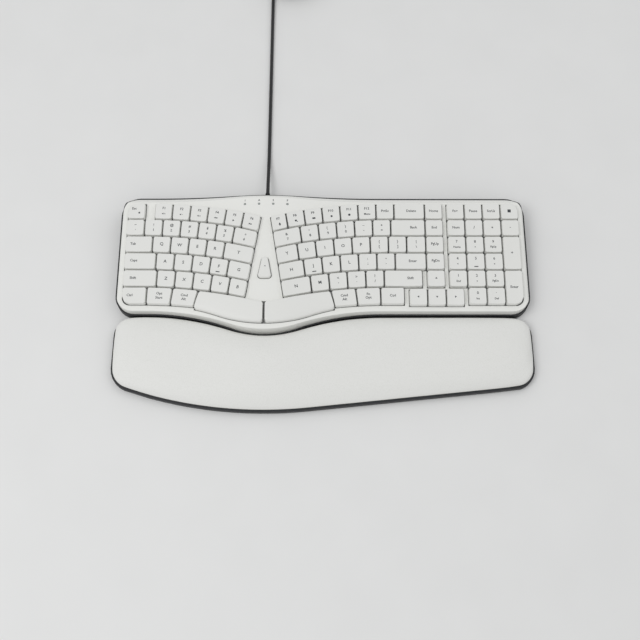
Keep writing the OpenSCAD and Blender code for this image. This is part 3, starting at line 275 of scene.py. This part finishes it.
# Strain relief: a tapered sleeve of soft black rubber moulded on the cord, with grooves that let
# it bend. Its flange sits behind the wall.
def spun(profile, start, axis, steps=48):
    """A closed body of revolution from (along, radius) pairs in millimetres."""
    made = bmesh.new()
    start = Vector(start)
    axis = Vector(axis)
    side = axis.orthogonal().normalized()
    verts = [made.verts.new(start + (axis * along + side * radius) * MM) for along, radius in profile]
    edges = [made.edges.new(pair) for pair in zip(verts, verts[1:])]
    bmesh.ops.spin(
        made,
        geom=[*verts, *edges],
        cent=start,
        axis=axis,
        angle=2 * math.pi,
        steps=steps,
        use_merge=True,
        use_duplicate=False,
    )
    bmesh.ops.remove_doubles(made, verts=made.verts, dist=0.001 * MM)
    bmesh.ops.recalc_face_normals(made, faces=made.faces)
    return made


# Moulded rubber: blunt black with a bloom of fine dust that takes the shine away.
rubber = two_tone("moulded_rubber", "#161617", "#262729", 0.9, 0.025, roughness=0.72, ior=1.5)

profile = [(-6, 0), (-6, 4), (-4.2, 4), (-4.2, 2.7), (0, 2.7), (0, 3.5), (0.2, 3.6), (1.6, 3.6)]
for groove in range(4):
    along = 2.4 + 2.2 * groove
    radius = 3.5 - 0.27 * groove
    profile += [(along, radius), (along + 0.25, radius - 0.6)]
    profile += [(along + 0.8, radius - 0.65), (along + 1.05, radius - 0.1)]
profile += [(11.4, 2.45), (11.9, 2.25), (12, 1.9), (12, 0)]
sleeve = new_piece("cord_sleeve", spun(profile, on_frame(0, 131.2, 11), (0, 1, 0)), rubber)
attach(sleeve, "case")
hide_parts("strain_relief")

# Cord strap: a band of woven nylon with hooks on one face and loops on the other, 1 mm thick. It
# is wrapped round one side of the coil and holds the turns together.

# Woven nylon: dark and dry, with a small lump where each pair of yarns crosses.
nylon = two_tone("woven_nylon", "#1d1e20", "#323438", 0.5, 0.1, kind="Voronoi", roughness=0.85)

low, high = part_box("cable_tie")
band = bmesh.new()
corners = [(low.x, low.z), (high.x, low.z), (high.x, high.z), (low.x, high.z)]
ring = [band.verts.new((x, low.y, z)) for x, z in corners]
for pair in zip(ring, ring[1:] + ring[:1]):
    band.edges.new(pair)
bmesh.ops.bevel(
    band, geom=ring, offset=2.2 * MM, affect="VERTICES", segments=5, profile=0.5, material=-1
)
hoop = bmesh.ops.extrude_edge_only(band, edges=band.edges[:])
far_edge = [v for v in hoop["geom"] if isinstance(v, bmesh.types.BMVert)]
bmesh.ops.translate(band, vec=(0, high.y - low.y, 0), verts=far_edge)
bmesh.ops.recalc_face_normals(band, faces=band.faces)
bmesh.ops.solidify(band, geom=band.faces[:], thickness=0.95 * MM)
strap = new_piece("cord_strap", band, nylon)
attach(strap, "case")
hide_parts("cable_tie")

# Data plug: a shell folded from thin steel, held in a grip of black rubber that is moulded over
# the cord's end. The grip's long edges are rounded for the fingers.

# Nickel-plated steel: a cool grey mirror, a little blurred in patches by the rolling.
steel = two_tone("nickel_plated_steel", "#b4b6b8", "#bec0c2", 0.8, gloss=(0.25, 0.42), metallic=1.0)

made = merged_copy("plug_grip")
round_edges(made, 0.6 * MM, wanted=lambda edge: edge.calc_length() > 5 * MM)
grip = new_piece("plug_body", made, rubber)
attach(grip, "case")
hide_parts("plug_grip")
made = merged_copy("plug_shell")
round_edges(made, 0.15 * MM, segments=2)
shell = new_piece("plug_metal", made, steel)
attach(shell, "case")
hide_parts("plug_shell")


# Shells: ABS from a spark-eroded mould, so the gloss is broken by a fine even grain. The bottom
# shell is a charcoal tub whose thin rim shows all round the white deck; the screws come from below.
def moulded_abs(name, low_tone, high_tone, grain, roughness):
    """Grain is the size of the mould's texture in millimetres, drawn coarse enough to show."""
    made, tree, shader = new_material(name, ior=1.53)
    place = add(tree, "ShaderNodeTexCoord").outputs["Object"]
    grit = add(tree, "ShaderNodeTexNoise", {"Vector": place, "Scale": 1 / (grain * MM), "Detail": 3.0})
    cloud = add(tree, "ShaderNodeTexNoise", {"Vector": place, "Scale": 1 / (45 * MM), "Detail": 2.0})
    tone = add(
        tree,
        "ShaderNodeMix",
        {0: cloud.outputs[0], 6: linear(low_tone), 7: linear(high_tone)},
        data_type="RGBA",
    )
    gloss = add(
        tree,
        "ShaderNodeMapRange",
        {"Value": grit.outputs[0], "To Min": roughness - 0.08, "To Max": roughness + 0.08},
    )
    bump = add(
        tree, "ShaderNodeBump", {"Height": grit.outputs[0], "Strength": 0.2, "Distance": 0.1 * MM}
    )
    tree.links.new(tone.outputs[2], shader.inputs["Base Color"])
    tree.links.new(gloss.outputs[0], shader.inputs["Roughness"])
    tree.links.new(bump.outputs[0], shader.inputs["Normal"])
    return made


def faces_up(edge):
    """True for an edge of a face that looks up."""
    return any(face.normal.z > 0.5 for face in edge.link_faces)


def dress(node, name, material, width, segments=3, wanted=faces_up, body="case", gap=0.002 * MM):
    """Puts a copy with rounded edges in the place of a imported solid."""
    made = merged_copy(node, gap)
    round_edges(made, width, segments, wanted=wanted)
    piece = new_piece(name, made, material)
    weights = piece.modifiers.new("flat_faces", "WEIGHTED_NORMAL")
    weights.keep_sharp = True
    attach(piece, body)
    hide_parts(node)
    return piece


# Charcoal ABS: nearly black and half matt, so that the lower shell reads as a dark edge.
charcoal_abs = moulded_abs("charcoal_abs", "#1e1f21", "#242528", 0.6, 0.55)
# White ABS: a warm white with a soft sheen that the grain breaks up.
white_abs = moulded_abs("white_abs", "#eaeae6", "#efefeb", 0.6, 0.5)
tub = dress("bottom_case", "bottom_shell", charcoal_abs, 0.3 * MM, 2, gap=0.05 * MM)
for side in ("left", "right"):
    node = f"tilt_foot_{side}"
    foot = dress(node, f"folding_foot_{side}", charcoal_abs, 0.5 * MM, 2, None, node)
pads = dress("rubber_feet", "table_feet", rubber, 0.6 * MM, 3, None)

# Inner works, seen only as a grey floor in the gaps between the keys: key frame of grey ABS,
# silicone domes, printed polyester sheet, plated steel plate, and the board under the ridge.

# Grey ABS: a dim, even floor between the keys.
frame_abs = moulded_abs("grey_abs", "#b4b5b4", "#bcbdbb", 0.6, 0.6)
# Silicone: milky, with soft clouds of the filler.
silicone = two_tone("silicone_rubber", "#cfcfc8", "#dcdcd6", 6, roughness=0.55)
# Polyester film: glossy and pale, striped by the silver tracks printed on it.
polyester = two_tone("polyester_film", "#b9bdb2", "#d8d9cf", 16, kind="Wave", roughness=0.25)
# Glass cloth in epoxy: a green that flickers with the weave below the lacquer.
glass_epoxy = two_tone("glass_epoxy_laminate", "#1f4a2b", "#2f6a3e", 1.2, roughness=0.35)
inner_works = {
    "key_frame": frame_abs,
    "rubber_domes": silicone,
    "contact_sheet": polyester,
    "back_plate": steel,
    "controller_board": glass_epoxy,
    "tail_clamp": charcoal_abs,
    "screws": steel,
}
for node, material in inner_works.items():
    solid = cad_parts[node]
    solid.data.materials.clear()
    solid.data.materials.append(material)

# Top shell: the white deck with its gull-wing curve, one window for each run of keys, and four
# small light guides of clear plastic in the wedge between the halves.
deck = dress("top_case", "deck_shell", white_abs, 0.5 * MM, 3, gap=0.12 * MM)
# Acrylic with the lamp off: a smoky grey drop with a bright edge.
acrylic = two_tone("clear_acrylic", "#8d9391", "#a5aba8", 2, roughness=0.2, ior=1.49)
lights = dress("indicator_lights", "light_guides", acrylic, 0.5 * MM, 4)

# Keys: hollow caps of white PBT, dished across, on square stems. The legends are printed on, and
# three keys have a raised bar for the finger to find.

# White PBT: drier than the deck, so that the keys stand out from it.
key_pbt = moulded_abs("white_pbt", "#e5e5e1", "#e9e9e6", 0.45, 0.58)
# Printing ink: dark grey, a little thinner in spots where the pad let go.
ink = two_tone("printing_ink", "#36393d", "#44474b", 0.5, roughness=0.5)
LETTER = 4.7
PAIR = 4.0
WORD = 3.8
SMALL = 3.0
INK_T = 0.03
INK_SPREAD = 0.07
BEND_START = 125
BEND_R = 395


def text(words, dx=0.0, dy=0.0, size=WORD):
    """A printed word, with its middle this far right of and above the middle of its key."""
    return {"text": words, "dx": dx, "dy": dy, "size": size}


def shape(sides, turn, dx=0.0, dy=0.0, size=1.2):
    """A printed polygon: three sides for a pointer, four for a block, many for a dot."""
    return {"sides": sides, "turn": turn, "dx": dx, "dy": dy, "size": size}


def raised_bar():
    """The bar that the finger finds, near the front of its key."""
    return {"bar": (4.2, 0.9, 0.7), "dx": 0.0, "dy": -6.2}


def letters(row):
    """One letter in the middle of each key."""
    return [[text(letter, size=LETTER)] for letter in row]


def pairs(row):
    """Two marks on a key: the shifted one above."""
    return [[text(high, dy=2.6, size=PAIR), text(low, dy=-3, size=PAIR)] for high, low in row]


def function_keys(first, icons):
    """The number of each key, and below it the sign of its second use."""
    marks = []
    for i, icon in enumerate(icons):
        marks.append([text(f"F{first + i}", dy=3.2, size=WORD), *icon])
    return marks


LOW = -3.2
POINT_RIGHT = 0
POINT_UP = 90
POINT_LEFT = 180
POINT_DOWN = 270
mute = [shape(3, POINT_LEFT, -0.5, LOW), text("x", 1.5, LOW, 2.6)]
quieter = [shape(3, POINT_LEFT, -0.5, LOW), text("-", 1.5, LOW, 3)]
louder = [shape(3, POINT_LEFT, -0.5, LOW), text("+", 1.5, LOW, 3)]
back = [shape(3, POINT_LEFT, -0.9, LOW), shape(3, POINT_LEFT, 0.9, LOW)]
play = [shape(3, POINT_RIGHT, 0, LOW, 1.4)]
onward = [shape(3, POINT_RIGHT, -0.9, LOW), shape(3, POINT_RIGHT, 0.9, LOW)]
house = [shape(3, POINT_UP, 0, LOW + 0.6, 1.4), shape(4, 45, 0, LOW - 0.7, 1.1)]
lens = [shape(16, 0, -0.3, LOW + 0.3, 1.1), shape(4, 0, 1, LOW - 1, 0.6)]
envelope = [shape(4, 45, -0.7, LOW, 1.3), shape(4, 45, 0.7, LOW, 1.3)]
sheet = [shape(4, 45, 0, LOW, 1.4)]
moon = [shape(16, 0, 0, LOW, 1.3)]
page = [text("Menu", 0, LOW, SMALL)]
legends = {
    "key_escape": [[text("Esc", -2.4, 2.4), shape(16, 0, 3, -2.6, 1)]],
    "keys_function_left": function_keys(1, [mute, quieter, louder, back, play, onward]),
    "keys_number_left": pairs(["~`", "!1", "@2", "#3", "$4", "%5", "^6"]),
    "key_tab": [[text("Tab", -6)]],
    "keys_upper_left": letters("QWERT"),
    "key_caps_lock": [[text("Caps", -6.5)]],
    "keys_home_left": letters("ASDFG"),
    "key_shift_left": [[text("Shift", -7)]],
    "keys_lower_left": letters("ZXCVB"),
    "keys_modifier_left": [
        [text("Ctrl", -4.4)],
        [text("Opt", 0, 2), text("Start", 0, -2.2)],
        [text("Cmd", 0, 2), text("Alt", 0, -2.2)],
    ],
    "keys_function_right": [
        *function_keys(7, [house, lens, envelope, sheet, moon, page]),
        [text("PrtSc")],
    ],
    "key_delete": [[text("Delete", 2)]],
    "keys_number_right": pairs(["&7", "*8", "(9", ")0", "_-", "+="]),
    "key_backspace": [[text("Back", 6)]],
    "keys_upper_right": [*letters("YUIOP"), *pairs(["{[", "}]", "|\\"])],
    "keys_home_right": [*letters("HJKL"), *pairs([":;", "\"'"])],
    "key_enter": [[text("Enter", 2)]],
    "keys_lower_right": [*letters("NM"), *pairs(["<,", ">.", "?/"])],
    "key_shift_right": [[text("Shift", 7)]],
    "keys_modifier_right": [
        [text("Cmd", 0, 2), text("Alt", 0, -2.2)],
        [text("Fn", 0, 2), text("Opt", 0, -2.2)],
        [text("Ctrl")],
    ],
    "keys_navigation": [[text(word)] for word in ("Home", "End", "PgUp", "PgDn")],
    "key_arrow_up": [[shape(3, POINT_UP, size=1.3)]],
    "key_arrow_left": [[shape(3, POINT_LEFT, size=1.3)]],
    "key_arrow_down": [[shape(3, POINT_DOWN, size=1.3)]],
    "key_arrow_right": [[shape(3, POINT_RIGHT, size=1.3)]],
    "keys_pad_row_1": [[text("Fn+")], [text("Pause")], [text("ScrLk")], [shape(4, 45, size=2.4)]],
    "keys_pad_row_2": [[text("Num")], *[[text(sign, size=LETTER)] for sign in "/*-"]],
    "keys_pad_row_3": [
        [text("7", dy=3, size=PAIR), text("Home", dy=LOW, size=SMALL)],
        [text("8", dy=3, size=PAIR), shape(3, POINT_UP, 0, LOW, 0.9)],
        [text("9", dy=3, size=PAIR), text("PgUp", dy=LOW, size=SMALL)],
    ],
    "keys_pad_row_4": [
        [text("4", dy=3, size=PAIR), shape(3, POINT_LEFT, 0, LOW, 0.9)],
        [text("5", dy=3, size=PAIR)],
        [text("6", dy=3, size=PAIR), shape(3, POINT_RIGHT, 0, LOW, 0.9)],
    ],
    "keys_pad_row_5": [
        [text("1", dy=3, size=PAIR), text("End", dy=LOW, size=SMALL)],
        [text("2", dy=3, size=PAIR), shape(3, POINT_DOWN, 0, LOW, 0.9)],
        [text("3", dy=3, size=PAIR), text("PgDn", dy=LOW, size=SMALL)],
    ],
    "keys_pad_row_6": [
        [text("0", dy=3, size=PAIR), text("Ins", dy=LOW, size=SMALL)],
        [text(".", dy=3, size=PAIR), text("Del", dy=LOW, size=SMALL)],
    ],
    "key_pad_plus": [[text("+", size=LETTER)]],
    "key_pad_enter": [[text("Enter")]],
    "space_bar_left": [],
    "space_bar_right": [],
    "centre_button": [[shape(3, POINT_UP, 0, 1, 0.9)]],
}
homing_bars = {"keys_home_left": 3, "keys_home_right": 1, "keys_pad_row_4": 1}


def separate_keys(mesh):
    """The middle of each key of a node, from left to right, or from back to front in a column."""
    made = bmesh.new()
    made.from_mesh(mesh)
    waiting = set(made.verts)
    middles = []
    while waiting:
        stack = [waiting.pop()]
        spots = []
        while stack:
            vert = stack.pop()
            spots.append(vert.co.copy())
            near = [edge.other_vert(vert) for edge in vert.link_edges]
            fresh = [v for v in near if v in waiting]
            waiting.difference_update(fresh)
            stack.extend(fresh)
        xs = [p.x for p in spots]
        ys = [p.y for p in spots]
        middles.append(Vector(((min(xs) + max(xs)) / 2, (min(ys) + max(ys)) / 2)))
    made.free()
    spread_x = max(p.x for p in middles) - min(p.x for p in middles)
    column = spread_x < 2 * MM
    return sorted(middles, key=lambda p: -p.y if column else p.x)


def row_turn(x):
    """How far a key is turned by the bend of its row, in radians."""
    from_split = x / MM - SPLIT.x
    bend = max(0, BEND_START - abs(from_split)) / BEND_R
    return math.copysign(math.asin(bend), from_split)


def mark_mesh(mark):
    """A mesh of one mark, in metres round its own middle."""
    if "text" not in mark:
        solid = bmesh.new()
        if "bar" in mark:
            bmesh.ops.create_cube(solid, size=1)
            bmesh.ops.scale(solid, vec=Vector(mark["bar"]) * MM, verts=solid.verts)
            round_edges(solid, 0.3 * MM)
        else:
            bmesh.ops.create_cone(
                solid,
                cap_ends=True,
                segments=mark["sides"],
                radius1=mark["size"] * MM,
                radius2=mark["size"] * MM,
                depth=2 * INK_T * MM,
                matrix=Matrix.Rotation(math.radians(mark["turn"] - 90), 4, "Z"),
            )
        mesh = bpy.data.meshes.new("mark")
        solid.to_mesh(mesh)
        solid.free()
        return mesh
    words = bpy.data.curves.new("mark", "FONT")
    words.body = mark["text"]
    words.size = mark["size"] * MM
    words.extrude = INK_T * MM
    words.offset = INK_SPREAD * MM
    words.resolution_u = 2
    words.align_x = "CENTER"
    holder = bpy.data.objects.new("mark", words)
    scene.collection.objects.link(holder)
    mesh = bpy.data.meshes.new_from_object(holder.evaluated_get(bpy.context.evaluated_depsgraph_get()))
    bpy.data.objects.remove(holder)
    bpy.data.curves.remove(words)
    spots = [v.co for v in mesh.vertices]
    middle = [(min(p[i] for p in spots) + max(p[i] for p in spots)) / 2 for i in (0, 1)]
    mesh.transform(Matrix.Translation((-middle[0], -middle[1], 0)))
    return mesh


def print_on(made, tree_of_faces, mark, middle, turn):
    """Lays one mark on the surface below it."""
    mesh = mark_mesh(mark)
    offset = Matrix.Translation((mark["dx"] * MM, mark["dy"] * MM, 0))
    spin = Matrix.Rotation(turn, 4, "Z")
    mesh.transform(Matrix.Translation((middle.x, middle.y, 0)) @ spin @ offset)
    before = len(made.verts)
    made.from_mesh(mesh)
    bpy.data.meshes.remove(mesh)
    made.verts.ensure_lookup_table()
    for vert in made.verts[before:]:
        hit = tree_of_faces.ray_cast((vert.co.x, vert.co.y, 0.2), (0, 0, -1))[0]
        vert.co.z += hit.z


def surface_tree(piece):
    """The piece's faces, ready for finding the surface below a point."""
    made = bmesh.new()
    made.from_mesh(piece.data)
    found = BVHTree.FromBMesh(made)
    made.free()
    return found


large_corners = {
    "key_escape": Vector((-1, 1, 0)),
    "keys_modifier_left": Vector((-1, -1, 0)),
    "keys_pad_row_1": Vector((1, 1, 0)),
    "key_pad_enter": Vector((1, -1, 0)),
}
CORNER_DEPTH = 1.4 * MM
ROOF_T = 1.2 * MM


def close_skirt(mesh, way):
    """Closes the skirt at the large corner that lies this way, where the hollow comes through."""
    made = bmesh.new()
    made.from_mesh(mesh)
    reach = max(vert.co @ way for vert in made.verts)
    near = [vert for vert in made.verts if vert.co @ way > reach - CORNER_DEPTH]
    top = max(vert.co.z for vert in near)
    bmesh.ops.convex_hull(made, input=[vert for vert in near if vert.co.z < top - ROOF_T])
    made.to_mesh(mesh)
    made.free()


for node, rows in legends.items():
    caps = dress(node, f"{node}_caps", key_pbt, 0.45 * MM, 3, body=node)
    if node in large_corners:
        close_skirt(caps.data, large_corners[node])
    if not rows:
        continue
    below = surface_tree(caps)
    printed = bmesh.new()
    middles = separate_keys(caps.data)
    for middle, marks in zip(middles, rows):
        for mark in marks:
            print_on(printed, below, mark, middle, row_turn(middle.x))
    if node in homing_bars:
        middle = middles[homing_bars[node]]
        print_on(printed, below, raised_bar(), middle, row_turn(middle.x))
    legend = new_piece(f"{node}_legends", printed, ink)
    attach(legend, node)

# Light signs: one letter printed on the deck behind each light, in the same ink as on the keys, for
# number lock, capitals, scrolling and function lock.
LIGHT_XS = (-22.5, -7.5, 7.5, 22.5)
LIGHT_Y = 119.2
below = surface_tree(deck)
printed = bmesh.new()
for x, sign in zip(LIGHT_XS, ("1", "A", "S", "F")):
    light = on_frame(x, LIGHT_Y, 0)
    print_on(printed, below, text(sign, dy=3.6, size=3), light.to_2d(), 0)
signs = new_piece("light_signs", printed, ink)
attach(signs, "case")

# Palm rest: a moulded charcoal base that hooks under the case, and a foam pad with a skin of
# white artificial leather drawn down over its edges.
base = dress("palm_rest_base", "palm_rest_tray", charcoal_abs, 0.3 * MM, 2, gap=0.02 * MM)

# Artificial leather: white pebbles under a millimetre wide; the creases between them are duller and
# carry painted shade.
leather, tree, shader = new_material("artificial_leather", ior=1.5)
place = add(tree, "ShaderNodeTexCoord").outputs["Object"]
pebbles = add(
    tree,
    "ShaderNodeTexVoronoi",
    {"Vector": place, "Scale": 1 / (0.9 * MM), "Randomness": 1.0},
    feature="DISTANCE_TO_EDGE",
)
crease_shade_mask = add(
    tree,
    "ShaderNodeMapRange",
    {"Value": pebbles.outputs[0], "From Max": 0.18, "To Min": 0.0, "To Max": 1.0},
)
# The creases take the darker tone: painted shade between the pebbles.
tone = add(
    tree,
    "ShaderNodeMix",
    {0: crease_shade_mask.outputs[0], 6: linear("#e2e2de"), 7: linear("#ebebe8")},
    data_type="RGBA",
)
gloss = add(tree, "ShaderNodeMapRange", {"Value": crease_shade_mask.outputs[0], "To Min": 0.7, "To Max": 0.52})
bump = add(
    tree,
    "ShaderNodeBump",
    {"Height": crease_shade_mask.outputs[0], "Strength": 0.25, "Distance": 0.12 * MM},
)
tree.links.new(tone.outputs[2], shader.inputs["Base Color"])
tree.links.new(gloss.outputs[0], shader.inputs["Roughness"])
tree.links.new(bump.outputs[0], shader.inputs["Normal"])


def bake_modifiers(piece):
    """Gives the piece the mesh that its modifiers make, and removes them."""
    graph = bpy.context.evaluated_depsgraph_get()
    old = piece.data
    piece.data = bpy.data.meshes.new_from_object(piece.evaluated_get(graph), depsgraph=graph)
    piece.modifiers.clear()
    bpy.data.meshes.remove(old)


skin = merged_copy("palm_rest_pad", flat=0.01)
bmesh.ops.triangulate(skin, faces=[f for f in skin.faces if len(f.verts) > 4])
bmesh.ops.join_triangles(
    skin,
    faces=skin.faces[:],
    angle_face_threshold=math.radians(30),
    angle_shape_threshold=math.radians(70),
)
kept_sharp = skin.edges.layers.float.new("crease_edge")
for edge in skin.edges:
    edge[kept_sharp] = 1.0 if edge.calc_face_angle() > math.radians(50) else 0.0
cushion = new_piece("palm_rest_cushion", skin, leather)
finer = cushion.modifiers.new("finer", "SUBSURF")
finer.levels = 1
finer.render_levels = 1
bake_modifiers(cushion)
cushion.data.materials.clear()
cushion.data.materials.append(leather)
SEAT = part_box("palm_rest_pad")[0].z
GLUE_H = 2.5 * MM
SIDE_LIMIT = 0.4 * MM
DOWN_LIMIT = 1.0 * MM
UP_LIMIT = 1.6 * MM
LAST_STEP = 20
SMOOTHINGS = 4
start = [v.co.copy() for v in cushion.data.vertices]
held = cushion.vertex_groups.new(name="glued")
held.add([i for i, p in enumerate(start) if p.z < SEAT + GLUE_H], 1.0, "REPLACE")
foam = cushion.modifiers.new("foam", "CLOTH")
foam.settings.use_pressure = True
foam.settings.uniform_pressure_force = 4
foam.settings.tension_stiffness = 25
foam.settings.compression_stiffness = 25
foam.settings.effector_weights.gravity = 0
foam.settings.vertex_group_mass = "glued"
for step in range(1, LAST_STEP + 1):
    scene.frame_set(step)
bake_modifiers(cushion)
scene.frame_set(1)
for vert, rest in zip(cushion.data.vertices, start):
    move = vert.co - rest
    flat = Vector((move.x, move.y, 0))
    flat.length = min(flat.length, SIDE_LIMIT)
    rise = max(-DOWN_LIMIT, min(move.z, UP_LIMIT))
    vert.co = rest + flat + Vector((0, 0, rise))
cushion.vertex_groups.clear()
surface = bmesh.new()
surface.from_mesh(cushion.data)
loose = [v for v in surface.verts if v.co.z > SEAT + GLUE_H]
for _ in range(SMOOTHINGS):
    bmesh.ops.smooth_vert(
        surface,
        verts=loose,
        factor=0.5,
        use_axis_x=True,
        use_axis_y=True,
        use_axis_z=True,
    )
surface.to_mesh(cushion.data)
surface.free()
cushion.data.polygons.foreach_set("use_smooth", [True] * len(cushion.data.polygons))
finer = cushion.modifiers.new("finer", "SUBSURF")
finer.levels = 1
finer.render_levels = 1
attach(cushion, "case")
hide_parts("palm_rest_pad")
